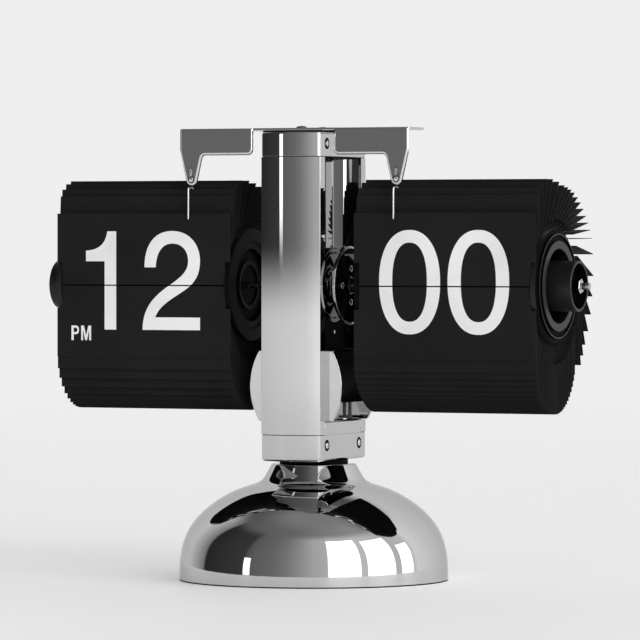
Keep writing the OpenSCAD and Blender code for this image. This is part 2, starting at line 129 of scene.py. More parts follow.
def bump(tree, bsdf, height, strength, distance):
    node = tree.nodes.new("ShaderNodeBump")
    node.inputs["Strength"].default_value = strength
    node.inputs["Distance"].default_value = distance
    tree.links.new(height, node.inputs["Height"])
    tree.links.new(node.outputs["Normal"], bsdf.inputs["Normal"])


def grey(v):
    return (v, v, v)


def metal(name, tone, rough, swing, bump_mm=0.0, tint=(1, 1, 1)):
    """Bright metal: slow changes of tone, fine changes of polish, and a faint surface wave."""
    mat, tree, bsdf = new_material(name)
    bsdf.inputs["Metallic"].default_value = 1.0
    bsdf.inputs["Specular Tint"].default_value = (0.72, 0.72, 0.72, 1)
    slow = noise(tree, 22, 3)
    lo = tuple(tone * 0.97 * t for t in tint)
    hi = tuple(min(1, tone * 1.03) * t for t in tint)
    tree.links.new(ramp(tree, slow, [(0.3, lo), (0.7, hi)]), bsdf.inputs["Base Color"])
    fine = noise(tree, 900, 5, 0.6)
    tree.links.new(spread(tree, fine, max(0.01, rough - swing), rough + swing), bsdf.inputs["Roughness"])
    if bump_mm:
        bump(tree, bsdf, noise(tree, 160, 2, 0.4), 0.25, bump_mm * MM)
    return mat


def plastic(name, tone, rough, grain_scale, grain_mm, coat=0.0, specular=0.5):
    """Dull moulding, card, ink or rubber: slow changes of tone over a fine grain."""
    mat, tree, bsdf = new_material(name)
    slow = noise(tree, 35, 4)
    tones = [(0.3, grey(tone * 0.88)), (0.7, grey(tone * 1.12))]
    tree.links.new(ramp(tree, slow, tones), bsdf.inputs["Base Color"])
    fine = noise(tree, grain_scale, 3, 0.6)
    tree.links.new(spread(tree, fine, rough * 0.85, min(1, rough * 1.15)), bsdf.inputs["Roughness"])
    bsdf.inputs["Specular IOR Level"].default_value = specular
    if coat:
        bsdf.inputs["Coat Weight"].default_value = coat
        bsdf.inputs["Coat Roughness"].default_value = 0.08
    bump(tree, bsdf, fine, 0.3, grain_mm * MM)
    return mat


def glow(mat, strength):
    """A little light of its own, for white ink and for the pale floor."""
    bsdf = shader_of(mat)
    bsdf.inputs["Emission Color"].default_value = (1, 1, 1, 1)
    bsdf.inputs["Emission Strength"].default_value = strength


def paint_highlight_on_card_ends(mat, tone):
    """Painted highlight: the stamped ends of a card, which face along the drum, are made paler than its
    printed faces, standing for light caught on their edges.
    """
    tree = mat.node_tree
    bsdf = shader_of(mat)
    face = bsdf.inputs["Base Color"].links[0].from_socket
    coord = tree.nodes.new("ShaderNodeTexCoord")
    axes = tree.nodes.new("ShaderNodeSeparateXYZ")
    tree.links.new(coord.outputs["Normal"], axes.inputs["Vector"])
    side = tree.nodes.new("ShaderNodeMath")
    side.operation = "ABSOLUTE"
    tree.links.new(axes.outputs["X"], side.inputs[0])
    # Paler tone for the ends: painted highlight.
    cut = ramp(tree, noise(tree, 600, 3), [(0.3, grey(tone * 0.8)), (0.7, grey(tone * 1.2))])
    mix = tree.nodes.new("ShaderNodeMix")
    mix.data_type = "RGBA"
    tree.links.new(spread(tree, side.outputs[0], 0.0, 1.0, (0.8, 0.95)), mix.inputs["Factor"])
    tree.links.new(face, mix.inputs["A"])
    tree.links.new(cut, mix.inputs["B"])
    tree.links.new(mix.outputs["Result"], bsdf.inputs["Base Color"])


CHROME = metal("polished_chrome", 0.61, 0.022, 0.012)
CHROME_SHEET = metal("polished_chrome_sheet", 0.68, 0.03, 0.014)
SATIN = metal("satin_edge_metal", 0.72, 0.2, 0.06, 0.002)
STEEL = metal("drawn_steel", 0.62, 0.22, 0.07, 0.003)
SCREW = metal("screw_metal", 0.7, 0.16, 0.06, 0.002)
BRASS = metal("machined_brass", 0.7, 0.25, 0.08, 0.003, tint=(1.0, 0.78, 0.42))
CARD = plastic("card_matte_black", 0.018, 0.6, 2600, 0.004, specular=0.02)
MOULDED = plastic("moulded_black", 0.009, 0.36, 1500, 0.006, specular=0.3)
BLACKENED = plastic("blackened_metal", 0.008, 0.3, 1200, 0.003)
RING_GREY = plastic("moulded_black_satin_ring", 0.019, 0.5, 1800, 0.008, specular=0.3)
# A darker copy of the moulded black for the inner end discs, which face the column: painted shade.
INNER_SHADED_BLACK = plastic("moulded_black_inner_painted_shade", 0.0045, 0.5, 1500, 0.006, specular=0.03)
# Darker matte black: painted shade in seams, recesses, cavities and screw seats, and on the stud, neck and
# drum tubes; also the black of the motor drum.
BLACK_AND_SHADE = plastic("matte_black_and_painted_shade", 0.003, 0.6, 1400, 0.004, specular=0.02)
GLOSS = plastic("gloss_black", 0.003, 0.06, 900, 0.0005, specular=0.45)
# Very dark rubber: the foot's own black, made darker to stand for the contact shadow under the dome (painted
# shadow).
RUBBER_AND_CONTACT_SHADE = plastic("foot_rubber_and_painted_contact_shadow", 0.004, 0.7, 1700, 0.02, specular=0.05)
PRINT = plastic("printed_white", 0.76, 0.5, 3200, 0.003)
CELL = plastic("cell_sleeve", 0.05, 0.3, 700, 0.003, coat=0.3)
LEADS = plastic("lead_insulation", 0.42, 0.4, 900, 0.004)
# The white ink glows a little of its own: painted light that brightens the numerals.
glow(PRINT, 0.17)
# Painted highlight on the ends of the cards.
paint_highlight_on_card_ends(CARD, 0.024)


# ---------------------------------------------------------------- shape helpers
def finish_mesh(name, bm, mats, angle):
    bmesh.ops.remove_doubles(bm, verts=bm.verts, dist=1e-7)
    bmesh.ops.recalc_face_normals(bm, faces=bm.faces)
    me = bpy.data.meshes.new(name)
    bm.to_mesh(me)
    bm.free()
    me.shade_smooth()
    me.set_sharp_from_angle(angle=math.radians(angle))
    for m in mats:
        me.materials.append(m)
    o = bpy.data.objects.new(name, me)
    scene.collection.objects.link(o)
    even = o.modifiers.new("even_shading", "WEIGHTED_NORMAL")
    even.weight = 100
    even.keep_sharp = True
    return o


def place(o, body, slot, *replaced):
    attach(o, body)
    if replaced:
        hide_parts(*replaced)
    return o


def add_shell(bm, rings, mat=0):
    """Joins rings of points (millimetres) into one skin, with capped ends."""
    rows = [[bm.verts.new([c * MM for c in p]) for p in ring] for ring in rings]
    skin = []
    for a, b in zip(rows, rows[1:]):
        for i in range(len(a)):
            j = (i + 1) % len(a)
            skin.append([a[i], a[j], b[j], b[i]])
    for corners in skin + [rows[0], rows[-1]]:
        bm.faces.new(corners).material_index = mat


def round_corners(points, radii, steps=6):
    """Rounds each corner of a closed outline with an arc of its own radius."""
    n = len(points)
    if not hasattr(radii, "__len__"):
        radii = [radii] * n
    out = []
    for i, p in enumerate(points):
        r = radii[i]
        if r <= 0:
            out.append(tuple(p))
            continue
        p = Vector(p)
        a = (Vector(points[i - 1]) - p).normalized()
        b = (Vector(points[(i + 1) % n]) - p).normalized()
        half = math.acos(max(-1, min(1, a.dot(b)))) / 2
        if half > math.radians(88):
            out.append(tuple(p))
            continue
        t = r / math.tan(half)
        centre = p + (a + b).normalized() * (r / math.sin(half))
        start, end = p + a * t - centre, p + b * t - centre
        turn = math.pi - 2 * half
        sign = 1 if start.x * end.y - start.y * end.x > 0 else -1
        for k in range(steps + 1):
            w = sign * turn * k / steps
            c, s = math.cos(w), math.sin(w)
            out.append((centre.x + start.x * c - start.y * s, centre.y + start.x * s + start.y * c))
    return out


def along(axis, at, sign, u, v, w):
    """The point that lies u, v across an axis through at, and w along it."""
    x, y, z = at
    if axis == "X":
        return (x + sign * w, y + u, z + v)
    if axis == "Y":
        return (x + u, y + sign * w, z + v)
    return (x + u, y + v, z + sign * w)


def lathe(bm, profile, axis="Z", at=(0, 0, 0), segments=96, closed=True, mat=0, sign=1):
    """Turns (radius, height) points round an axis through at."""
    rows = []
    for k in range(segments):
        turn = 2 * math.pi * k / segments
        c, s = math.cos(turn), math.sin(turn)
        ring = [along(axis, at, sign, r * c, r * s, h) for r, h in profile]
        rows.append([bm.verts.new([q * MM for q in p]) for p in ring])
    on_axis = [r < 1e-6 for r, h in profile]
    count = len(profile)
    last = count if closed else count - 1
    for k in range(segments):
        a, b = rows[k], rows[(k + 1) % segments]
        for i in range(last):
            j = (i + 1) % count
            if on_axis[i] and on_axis[j]:
                continue
            corners = [a[i], a[j], b[j], b[i]]
            if on_axis[i]:
                corners = [a[i], a[j], b[j]]
            elif on_axis[j]:
                corners = [a[i], a[j], b[i]]
            bm.faces.new(corners).material_index = mat


def inset(points, d):
    """Moves a closed counter-clockwise outline inwards by d."""
    n = len(points)
    out = []
    for i in range(n):
        p0, p1, p2 = points[i - 1], points[i], points[(i + 1) % n]
        e0 = (Vector(p1) - Vector(p0)).normalized()
        e1 = (Vector(p2) - Vector(p1)).normalized()
        n0, n1 = Vector((-e0.y, e0.x)), Vector((-e1.y, e1.x))
        m = n0 + n1
        if m.length < 1e-6:
            m = n0.copy()
        m.normalize()
        k = max(0.35, m.dot(n0))
        out.append((p1[0] + m.x * d / k, p1[1] + m.y * d / k))
    return out


def area(points):
    """Twice the signed area of an outline."""
    ends = zip(points[-1:] + points[:-1], points)
    return sum(a[0] * b[1] - b[0] * a[1] for a, b in ends)


def upright(u, v, w):
    """Places an outline seen from above, extruded along Z."""
    return (u, v, w)


def facing(u, v, w):
    """Places an outline seen from the front, extruded along Y."""
    return (u, w, v)


def extrude(bm, outline, lo, hi, put, edge_lo=0.2, edge_hi=0.2, mat=0, steps=4):
    """A solid from an outline, with rounded rims. put(u, v, w) gives the point in space."""
    pts = [p for i, p in enumerate(outline) if (Vector(p) - Vector(outline[i - 1])).length > 1e-4]
    if area(pts) < 0:
        pts = pts[::-1]
    turns = [math.pi / 2 * k / steps for k in range(steps + 1)]
    rings = [(edge_lo * (1 - math.sin(t)), lo + edge_lo * (1 - math.cos(t))) for t in turns]
    rings += [(edge_hi * (1 - math.sin(t)), hi - edge_hi * (1 - math.cos(t))) for t in reversed(turns)]
    add_shell(bm, [[put(u, v, w) for u, v in inset(pts, d)] for d, w in rings], mat)


def arc(cx, cy, r, a0, a1, steps=16):
    """Points round a centre, from angle a0 to a1 in degrees."""
    turns = [math.radians(a0 + (a1 - a0) * k / steps) for k in range(steps + 1)]
    return [(cx + r * math.cos(t), cy + r * math.sin(t)) for t in turns]


def bezier(p0, c0, c1, p1, steps=14):
    """Points of the curve from p0 to p1 with handles c0 and c1, without p0 itself."""
    out = []
    for k in range(1, steps + 1):
        t = k / steps
        s = 1 - t
        shares = (s**3, 3 * s * s * t, 3 * s * t * t, t**3)
        out.append(tuple(sum(q * p[i] for q, p in zip(shares, (p0, c0, c1, p1))) for i in (0, 1)))
    return out


# ---------------------------------------------------------------- base
def build_dome():
    """Bell-shaped dome with a flowing neck; the curves join at named (radius, height) points."""
    r0, low, top = DOME_HI[0], DOME_LO[2], DOME_HI[2]
    rim, flank, shoulder = (r0 - 0.05, 3.4), (41.6, 24.0), (30.2, 32.1)
    root, waist, lip = (21.6, 35.2), (17.8, 38.1), (15.6, 42.0)
    bell = [(r0, low), rim]
    bell += bezier(rim, (r0 - 0.25, 13.4), (46.6, 18.9), flank, 20)
    bell += bezier(flank, (38.9, 26.9), (34.6, 29.9), shoulder, 14)
    bell += bezier(shoulder, (27.4, 33.5), (24.0, 34.5), root, 10)
    inner = [(r - 1.3, z - 1.2) for r, z in reversed(bell) if z > 4]
    neck = bezier(root, (19.6, 35.9), (18.6, 36.7), waist, 10)
    neck += bezier(waist, (16.9, 39.7), (16.2, 41.0), lip, 8)
    neck += bezier(lip, (15.4, 42.4), (15.1, 42.6), (14.7, top), 5)
    bore_r, roof_z = 5.3, top - 1.6
    under = [(bore_r, top), (bore_r, roof_z), (13.6, roof_z), (19.8, 34.0)]
    under += [p for p in inner if p[0] > 20.5]
    under += [(r0 - 1.4, 3.4), (r0 - 1.4, low)]
    bm = bmesh.new()
    lathe(bm, bell + neck + under, segments=160)
    place(finish_mesh("dome_shell", bm, [CHROME], 50), "stand", "chrome", "base_dome")


def build_foot():
    """Thin dark ring under the dome, with a lip inside it; its very dark rubber also stands for the contact
    shadow under the rim, as painted shadow.
    """
    in_r, lip_r, out_r = 45.6, 47.2, DOME_HI[0] - 0.1
    top, lip_z = DOME_LO[2] - 0.02, 2.2
    ring = [(in_r, 0), (out_r, 0), (out_r, top), (lip_r, top), (lip_r, lip_z), (in_r, lip_z)]
    bm = bmesh.new()
    lathe(bm, round_corners(ring, [0.15, 0.05, 0.05, 0, 0.1, 0.1]), segments=160)
    place(finish_mesh("foot_ring_moulded", bm, [RUBBER_AND_CONTACT_SHADE], 40), "stand", "rubber_black", "foot_ring")


# ---------------------------------------------------------------- column
HALF_W = LOWER_HI[0]
CORNER_Y = 20.7  # where the flat sides end and the bowed front starts
BOW = LOWER_HI[1] - CORNER_Y
BOW_R = (HALF_W**2 + BOW**2) / (2 * BOW)
BOW_Y = CORNER_Y + BOW - BOW_R
BLOCK_CORNER, SHELL_CORNER = 1.5, 0.22
SHELL_T = 1.0
FLANGE_Y = -SHELL_HI[1]


def front_run(grow, corner):
    """Front edge of the column's section, from its left corner to its right, moved out by grow."""
    bow_steps, corner_steps = 22, 8
    half, r, big = HALF_W + grow, corner + grow, BOW_R + grow
    cx = half - r
    yc = BOW_Y + math.sqrt((big - r) ** 2 - cx**2)
    a_max = math.asin(cx / (big - r))
    run = []
    for k in range(corner_steps + 1):
        a = -math.pi / 2 + (math.pi / 2 - a_max) * k / corner_steps
        run.append((-cx + r * math.sin(a), -(yc + r * math.cos(a))))
    for k in range(1, bow_steps):
        a = -a_max + 2 * a_max * k / bow_steps
        run.append((big * math.sin(a), -(BOW_Y + big * math.cos(a))))
    for k in range(corner_steps + 1):
        a = a_max + (math.pi / 2 - a_max) * k / corner_steps
        run.append((cx + r * math.sin(a), -(yc + r * math.cos(a))))
    return run


def whole_section(front):
    """The column's section: its front edge, and the same edge turned round to the rear."""
    return front + [(-x, -y) for x, y in front]


def build_blocks():
    """Lower and upper block, with rings of painted shade sunk in the seams next to them."""
    section = whole_section(front_run(0, BLOCK_CORNER))
    recess = inset(section, 0.3)
    low_top, up_bottom, up_top = LOWER_HI[2], UPPER_LO[2], UPPER_HI[2]
    lower = (LOWER_LO[2], low_top, 1.3, 0.06)
    upper = (up_bottom, up_top - 0.15, 0.06, 1.3)
    lower_seams = [(low_top - 0.1, low_top + 0.25)]
    upper_seams = [(up_bottom - 0.3, up_bottom + 0.1), (up_top - 0.4, up_top)]
    for node, block, seams in (("lower_block", lower, lower_seams), ("upper_block", upper, upper_seams)):
        bm = bmesh.new()
        lo, hi, edge_lo, edge_hi = block
        extrude(bm, section, lo, hi, upright, edge_lo, edge_hi, steps=6)
        # The seam rings take the darker black: painted shade in the gaps.
        for seam_lo, seam_hi in seams:
            extrude(bm, recess, seam_lo, seam_hi, upright, 0.01, 0.01, steps=1, mat=1)
        place(finish_mesh(f"{node}_polished", bm, [CHROME, BLACK_AND_SHADE], 40), "stand", "chrome", node)


def build_shells():
    """Bowed front shell of the column, and the rear shell that mirrors it."""
    outer = front_run(0, SHELL_CORNER)
    inner = front_run(-SHELL_T, SHELL_T + 0.1)
    path = [(-HALF_W, -FLANGE_Y)] + outer + [(HALF_W, -FLANGE_Y), (HALF_W - SHELL_T, -FLANGE_Y)]
    path += inner[::-1] + [(-HALF_W + SHELL_T, -FLANGE_Y)]
    lo, hi = LOWER_HI[2] + 0.2, UPPER_LO[2] - 0.25
    for node, sign in (("front_shell", 1), ("rear_shell", -1)):
        bm = bmesh.new()
        extrude(bm, path, lo, hi, lambda u, v, w: (u, sign * v, w), 0.05, 0.05)
        place(finish_mesh(f"{node}_polished", bm, [CHROME], 40), "stand", "chrome", node)


def build_spacer():
    """Block between the two shells at their lower ends."""
    plug = [(-HALF_W, -FLANGE_Y), (HALF_W, -FLANGE_Y), (HALF_W, FLANGE_Y), (-HALF_W, FLANGE_Y)]
    core = whole_section(front_run(-SHELL_T - 0.05, SHELL_T + 0.2))
    bm = bmesh.new()
    extrude(bm, round_corners(plug, 0.3), SPACER_LO[2], SPACER_HI[2], upright, 0.1, 0.3)
    extrude(bm, core, SPACER_LO[2] + 0.02, SPACER_HI[2] - 0.05, upright, 0.1, 0.3)
    place(finish_mesh("spacer_polished", bm, [CHROME], 40), "stand", "chrome", "lower_spacer")


def screw_head(bm, at, axis, sign, r, h, slot_w):
    """Domed screw head with a slot between its two half-lenses, standing on at."""
    n = 20
    rises = [math.pi / 2 * k / 6 for k in range(7)]
    dome = [(r * math.cos(t), h * (0.35 + 0.65 * math.sin(t))) for t in rises]
    for half in (-1, 1):
        rings = []
        for ring_r, ring_h in [(r, 0)] + dome:
            ring_r = max(ring_r, slot_w * 0.62)
            lim = math.asin(min(1, slot_w / 2 / ring_r))
            ring = []
            for k in range(n + 1):
                a = lim + (math.pi - 2 * lim) * k / n
                ring.append(along(axis, at, sign, ring_r * math.cos(a), half * ring_r * math.sin(a), ring_h))
            rings.append(ring)
        add_shell(bm, rings)
    floor = [(0, 0.0), (r * 0.97, 0.0), (r * 0.97, h * 0.3), (0, h * 0.3)]
    lathe(bm, floor, axis, at, 32, sign=sign)


def build_block_screws():
    """Screws sunk in seats whose rings are darkened with painted shade, on both sides of both blocks."""
    head_r = 2
    lo, hi = span_of("block_screws")
    seat = [(0, -0.2), (1.15, -0.2), (1.15, 0.0), (2.05, 0.035), (2.1, 0.03), (2.1, -0.02)]
    bm = bmesh.new()
    for sign in (-1, 1):
        for z in (lo[2] + head_r, hi[2] - head_r):
            for y in (lo[1] + head_r, hi[1] - head_r):
                # Each seat is lined with the darker black: painted shade round the head.
                lathe(bm, seat, "X", (sign * HALF_W, y, z), 40, closed=False, mat=1, sign=sign)
                screw_head(bm, (sign * (HALF_W - 0.12), y, z), "X", sign, 1.2, 0.5, 0.3)
    place(finish_mesh("block_screw_set", bm, [SCREW, BLACK_AND_SHADE], 35), "stand", "steel", "block_screws")


# ---------------------------------------------------------------- beam, ears, rivets, wires
EAR_X = (WIRE_LO[0] + WIRE_HI[0]) / 2
ARM_Y = BEAM_LO[1]
ARM_IN, ARM_OUT = 16.1, BEAM_HI[0]
BEAM_TOP = BEAM_HI[2]
SHEET_T = 1.0
ARM_H = 9.8
EAR_IN = 36.3
EAR_TIP_R = 2.3
TIP_Z = AXIS_Z + 38.6
RIVET_HIGH = AXIS_Z + 42.3


def arm_outline():
    """Front view of an arm of the beam, with the pointed ear near its outer end."""
    pts = [(ARM_IN, BEAM_TOP), (ARM_IN, BEAM_TOP - ARM_H), (EAR_IN, BEAM_TOP - ARM_H)]
    radii = [0, 1.9, 1.4]
    tip = arc(EAR_X, TIP_Z, EAR_TIP_R, 188, 352, 12)
    pts += tip
    radii += [0] * len(tip)
    pts += [(ARM_OUT, BEAM_TOP - 8.5), (ARM_OUT, BEAM_TOP)]
    radii += [6, 0.9]
    return round_corners(pts, radii)


def build_beam():
    """Balance beam: a flat plate over the column whose front edge bends down into two arms."""
    bm = bmesh.new()
    for s in (-1, 1):
        extrude(bm, arm_outline(), 0, SHEET_T, lambda u, v, w: (s * u, ARM_Y + w, v), 0.9, 0.1, steps=5)
    front, waist, back = ARM_Y + 0.55, -3.4, BEAM_HI[1]
    plate = [
        (-ARM_OUT, front), (ARM_OUT, front), (ARM_OUT, waist), (HALF_W, waist),
        (HALF_W, back), (-HALF_W, back), (-HALF_W, waist), (-ARM_OUT, waist),
    ]
    plate = round_corners(plate, [0.6, 0.6, 1.5, 1.5, 2, 2, 1.5, 1.5])
    extrude(bm, plate, BEAM_TOP - SHEET_T, BEAM_TOP, upright, 0.2, 0.25)
    place(finish_mesh("beam_sheet", bm, [CHROME_SHEET], 35), "stand", "chrome", "balance_beam")


def build_beam_screws():
    head_r = 2
    lo, hi = span_of("beam_screws")
    bm = bmesh.new()
    for y in (lo[1] + head_r, hi[1] - head_r):
        screw_head(bm, (0, y, BEAM_TOP), "Z", 1, 1.95, 0.85, 0.5)
    place(finish_mesh("beam_screw_heads", bm, [BLACKENED], 35), "stand", "steel", "beam_screws")


def build_ear_rivets():
    """On each ear a washer, a screw head and a short link; behind it the tab that takes the wire."""
    bm = bmesh.new()
    for s in (-1, 1):
        x = s * EAR_X
        washer = [(0, 0), (1.3, 0), (1.3, 0.08), (0, 0.08)]
        lathe(bm, washer, "Y", (x, ARM_Y, TIP_Z), 32, mat=1, sign=-1)
        screw_head(bm, (x, ARM_Y - 0.06, TIP_Z), "Y", -1, 0.95, 0.4, 0.26)
        for grow, mat, height in ((0.25, 1, 0.08), (0.0, 0, 0.3)):
            link = arc(x, RIVET_HIGH - 0.2, 0.62 + grow, 0, 180, 10)
            link += arc(x, TIP_Z + 1.65, 0.5 + grow, 180, 360, 10)
            extrude(bm, link, ARM_Y - height, ARM_Y, facing, 0.06, 0.0, steps=2, mat=mat)
        back, foot = ARM_Y + SHEET_T, TIP_Z - 2.2
        tab = [(x - 0.8, foot), (x + 0.8, foot), (x + 0.8, RIVET_HIGH), (x - 0.8, RIVET_HIGH)]
        extrude(bm, tab, back, back + 0.35, facing, 0.05, 0.1, steps=2)
        for z, r in ((TIP_Z, 1.0), (RIVET_HIGH, 0.7)):
            head = [(0, 0), (r, 0), (r, 0.15), (r * 0.7, 0.38), (0, 0.44)]
            lathe(bm, head, "Y", (x, back, z), 28)
    place(finish_mesh("ear_rivets", bm, [SCREW, BLACKENED], 35), "stand", "steel", "hair_wire_rivets")


def build_hair_wires():
    """Spring wires that come forward under the ears and bend down in front of the upper cards."""
    wire_r, tip_r, bend_r, sides = 0.36, 0.28, 0.45, 14
    front, back = WIRE_LO[1] + 0.35, WIRE_HI[1] - 0.45
    high, tip = WIRE_HI[2] - 0.45, WIRE_LO[2]
    bend_y, bend_z = front + bend_r, high - bend_r
    barrel = [(0, -0.5), (0.32, -0.5), (0.32, 0.5), (0, 0.5)]
    for s, drum in ((1, "minute"), (-1, "hour")):
        x = s * EAR_X
        route = [Vector((x, back, high)), Vector((x, bend_y + 0.4, high))]
        for k in range(7):
            a = math.pi / 2 * k / 6
            route.append(Vector((x, bend_y - bend_r * math.sin(a), bend_z + bend_r * math.cos(a))))
        route += [Vector((x, front, bend_z - (bend_z - tip) * k / 6)) for k in range(1, 7)]
        rings = []
        for i, p in enumerate(route):
            ahead = (route[min(i + 1, len(route) - 1)] - route[max(i - 1, 0)]).normalized()
            side = Vector((1, 0, 0))
            up = ahead.cross(side).normalized()
            r = wire_r if i < len(route) - 1 else tip_r
            ring = []
            for k in range(sides):
                a = 2 * math.pi * k / sides
                ring.append(tuple(p + side * (r * math.cos(a)) + up * (r * math.sin(a))))
            rings.append(ring)
        bm = bmesh.new()
        add_shell(bm, rings)
        lathe(bm, barrel, "X", (x, back, high), 20, closed=False)
        wire = finish_mesh(f"{drum}_wire_spring", bm, [SATIN], 40)
        place(wire, f"{drum}_wire", "steel", f"{drum}_hair_wire")


# ---------------------------------------------------------------- movement
PLATE_X = HUB_HI[0]
PLATE_TOP = PLATE_X + 1.4


def build_case():
    """Gloss barrel of the movement, in two halves."""
    r, half_x = CASE_HI[2] - AXIS_Z, CASE_HI[0]
    end = half_x - 0.5
    barrel = [(0, 0), (r, 0), (r, half_x), (r - 1.6, half_x), (r - 2.2, end), (0, end)]
    barrel = round_corners(barrel, [0, 0, 0.8, 0.2, 0.2, 0])
    for s, side in ((1, "right"), (-1, "left")):
        bm = bmesh.new()
        lathe(bm, barrel, "X", AXIS_AT, closed=False, sign=s)
        place(finish_mesh(f"case_barrel_{side}", bm, [GLOSS], 35), "stand", "gloss_black", f"case_{side}")


def build_hubs():
    """Dished chrome hubs that flare from the case to the end plates."""
    hub_r, half_x, rim_r = 7.2, CASE_HI[0], 12.75
    hub = [(0, half_x - 0.6), (hub_r - 0.4, half_x - 0.6), (hub_r - 0.6, half_x + 0.4)]
    hub += bezier(hub[-1], (hub_r - 0.9, half_x + 2.2), (hub_r + 1.2, half_x + 3.2), (12.4, 12.3), 12)
    hub += [(rim_r, 12.6), (rim_r, PLATE_X - 0.1), (0, PLATE_X - 0.1)]
    bm = bmesh.new()
    for s in (-1, 1):
        lathe(bm, hub, "X", AXIS_AT, closed=False, sign=s)
    place(finish_mesh("dished_hubs", bm, [CHROME], 35), "stand", "chrome", "bearing_hubs")


def build_end_plates():
    """Gloss end plates with a raised boss round the shaft and a bright rim."""
    rim, boss_r, bore_r = PLATE_HI[2] - AXIS_Z, 2.9, 1.5
    boss_x, bore_x = PLATE_X + 2.6, PLATE_X + 1.2
    disc = [(0, PLATE_X), (rim - 0.5, PLATE_X), (rim - 0.5, PLATE_TOP), (boss_r, PLATE_TOP)]
    disc += [(boss_r, boss_x), (bore_r, boss_x), (bore_r, bore_x), (0, bore_x)]
    disc = round_corners(disc, [0, 0.1, 0.3, 0.4, 0.4, 0.1, 0.1, 0])
    ring = [(rim - 0.75, PLATE_X + 0.35), (rim, PLATE_X + 0.2)]
    ring += [(rim, PLATE_X + 1.3), (rim - 0.75, PLATE_X + 1.42)]
    ring = round_corners(ring, 0.18)
    bm = bmesh.new()
    for s in (-1, 1):
        lathe(bm, disc, "X", AXIS_AT, closed=False, sign=s)
        lathe(bm, ring, "X", AXIS_AT, mat=1, sign=s)
    place(finish_mesh("end_plates_gloss", bm, [GLOSS, CHROME], 35), "stand", "gloss_black", "end_plates")
    bm = bmesh.new()
    for s in (-1, 1):
        for y, z in ((0, 6.1), (0, -6.1), (7.7, 0), (-7.7, 0)):
            screw_head(bm, (s * PLATE_TOP, y, AXIS_Z + z), "X", s, 1.15, 0.5, 0.32)
    place(finish_mesh("end_plate_screw_heads", bm, [SCREW], 35), "stand", "steel", "end_plate_screws")


def build_pod():
    """Black motor drum with a flat top, between two bright plates with bowed sides."""
    r, top, half = 17.0, POD_HI[2], POD_HI[1]
    centre_z = POD_LO[2] + r
    flat = math.degrees(math.asin((top - centre_z) / r))
    bm = bmesh.new()
    extrude(bm, arc(0, centre_z, r, 180 - flat, 360 + flat, 64), -half, half, facing, 0.5, 0.5)
    place(finish_mesh("motor_drum_case", bm, [BLACK_AND_SHADE], 35), "stand", "plastic_black", "motor_pod")


def build_pod_clamps():
    """Bright plates in front of and behind the motor drum, each with two rivets."""
    bow_r, plate_t, rivet_x = 24.0, 1.2, 8
    half_w, face = CLAMP_HI[0], CLAMP_HI[1]
    centre_z, half_h = (CLAMP_LO[2] + CLAMP_HI[2]) / 2, (CLAMP_HI[2] - CLAMP_LO[2]) / 2
    bow = math.degrees(math.asin(half_h / bow_r))
    right = arc(half_w - bow_r, centre_z, bow_r, -bow, bow, 24)
    left = [(-x, 2 * centre_z - z) for x, z in right]
    cap = [(0, 0), (1.35, 0), (1.3, 0.15), (0.9, 0.27), (0, 0.3)]
    bm = bmesh.new()
    for s in (-1, 1):
        extrude(bm, right + left, 0, plate_t, lambda u, v, w: (u, s * (face - plate_t + w), v), 0.1, 0.35)
    place(finish_mesh("pod_clamp_plates", bm, [CHROME], 30), "stand", "chrome", "pod_plates")
    bm = bmesh.new()
    for s in (-1, 1):
        for x in (-rivet_x, rivet_x):
            lathe(bm, cap, "Y", (x, s * face, centre_z), 28, sign=s)
    place(finish_mesh("pod_rivet_heads", bm, [SCREW], 35), "stand", "steel", "pod_screws")


# ---------------------------------------------------------------- drums; s is +1 for minutes and -1 for hours
CARD_IN_X, CARD_OUT_X = CARD_LO[0], CARD_HI[0]
DISC_R = DISC_HI[2] - AXIS_Z
DISC_W = 1.9
RACE_OUT, RACE_IN = DISC_R - 0.44, DISC_R - 0.96  # groove that the card pins run in
RACE_DEPTH = 1.2
STEP_R, STEP_X, HOLE_R = 16.27, DISC_HI[0], 13.4
KNOB_R = KNOB_HI[2] - AXIS_Z
KNOB_FLOOR_X = NUT_LO[0]


def reach(face):
    """How far the middle of a face lies from the axis and from the column's middle plane."""
    c = face.calc_center_median() / MM
    return math.hypot(c.y, c.z - AXIS_Z), abs(c.x)


def build_outer_disc(prefix, s):
    """Outer end disc: a grey stepped ring in the middle, a recess darkened with painted shade and a thin rim
    round it.
    """
    rim_r, rim_x = 18.87, CARD_OUT_X + 1
    rim_in = rim_r - 0.42
    back_x, recess_x = CARD_OUT_X - DISC_W, CARD_OUT_X + 0.35
    race_x = back_x + RACE_DEPTH
    profile = [
        (HOLE_R, back_x), (HOLE_R, STEP_X), (STEP_R, STEP_X), (STEP_R, recess_x), (rim_in, recess_x),
        (rim_in, rim_x), (rim_r, rim_x), (rim_r, CARD_OUT_X), (DISC_R, CARD_OUT_X), (DISC_R, back_x),
        (RACE_OUT, back_x), (RACE_OUT, race_x), (RACE_IN, race_x), (RACE_IN, back_x),
    ]
    radii = [0, 0.2, 0.15, 0.1, 0.1, 0.12, 0.12, 0.05, 0.2, 0, 0, 0, 0, 0]
    bm = bmesh.new()
    lathe(bm, round_corners(profile, radii, steps=3), "X", AXIS_AT, 128, sign=s)
    for f in bm.faces:
        r, x = reach(f)
        if x > CARD_OUT_X - 0.1:
            # Faces of the recess between the step and the rim take the darker black: painted shade.
            f.material_index = 1 if HOLE_R < r < STEP_R + 0.01 and x > STEP_X - 0.3 else 2
            if r > rim_r - 0.5 and x > rim_x - 0.1:
                f.material_index = 0
    disc = finish_mesh(f"{prefix}_end_disc_outer", bm, [MOULDED, RING_GREY, BLACK_AND_SHADE], 30)
    place(disc, f"{prefix}_drum", "plastic_black", f"{prefix}_disc_outer")


